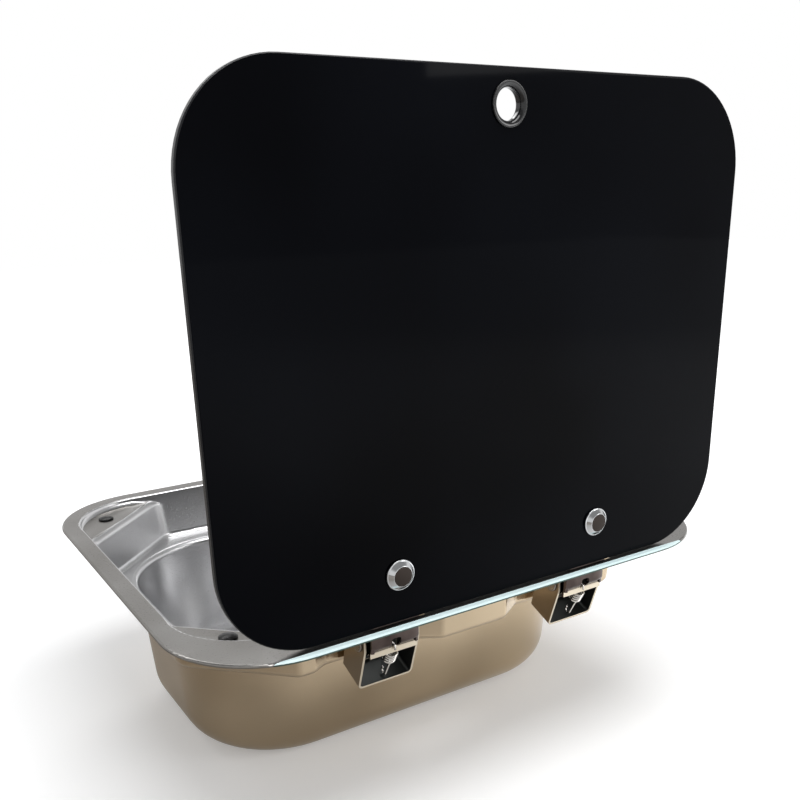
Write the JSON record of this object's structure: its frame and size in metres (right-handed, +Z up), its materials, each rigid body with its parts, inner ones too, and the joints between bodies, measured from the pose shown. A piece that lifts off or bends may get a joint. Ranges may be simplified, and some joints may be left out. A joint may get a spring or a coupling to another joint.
{
  "type": "built-in sink with hinged lid",
  "caption": "Built-in stainless steel camper sink with a black glass lid that stands open on sprung hinges at the back.",
  "frame": {"origin": "centre of the worktop cut-out on the worktop's upper face", "axes": "+Z up, +Y towards the hinges at the back, +X to the right of someone who stands in front of the sink"},
  "size_m": [0.42, 0.37, 0.4549],
  "materials": {
    "stainless_sheet": "satin",
    "black_glass": "gloss",
    "black_plastic": "gloss",
    "black_rubber": "matte",
    "hinge_sheet": "satin",
    "polished_steel": "polished",
    "pin_steel": "polished",
    "spring_wire": "polished",
    "clear_nylon": "satin",
    "cap_chrome": "polished",
    "screw_steel": "satin"
  },
  "bodies": {
    "sink": {"sink_bowl": "stainless_sheet", "bumper_front_left": "black_rubber", "bumper_front_right": "black_rubber", "bumper_rear_left": "black_rubber", "bumper_rear_right": "black_rubber", "hinge_box_left": "hinge_sheet", "pivot_pin_left": "pin_steel", "tension_spring_left": "spring_wire", "hinge_box_right": "hinge_sheet", "pivot_pin_right": "pin_steel", "tension_spring_right": "spring_wire"},
    "lid": {"glass_lid": "black_glass", "finger_ring_outer": "black_plastic", "finger_ring_inner": "black_plastic", "hinge_arm_left": "polished_steel", "arm_pad_left": "black_rubber", "glass_bush_left": "clear_nylon", "cap_washer_left": "black_rubber", "lid_cap_left": "cap_chrome", "lid_screw_left": "screw_steel", "hinge_arm_right": "polished_steel", "arm_pad_right": "black_rubber", "glass_bush_right": "clear_nylon", "cap_washer_right": "black_rubber", "lid_cap_right": "cap_chrome", "lid_screw_right": "screw_steel"}
  },
  "joints": [
    {"name": "lid_hinge", "type": "hinge", "parent": "sink", "child": "lid", "pos_m": [0, 0.159, -0.0145], "axis": [1, 0, 0], "range_deg": [0, 90], "deforming": ["tension_spring_left", "tension_spring_right"]}
  ]
}
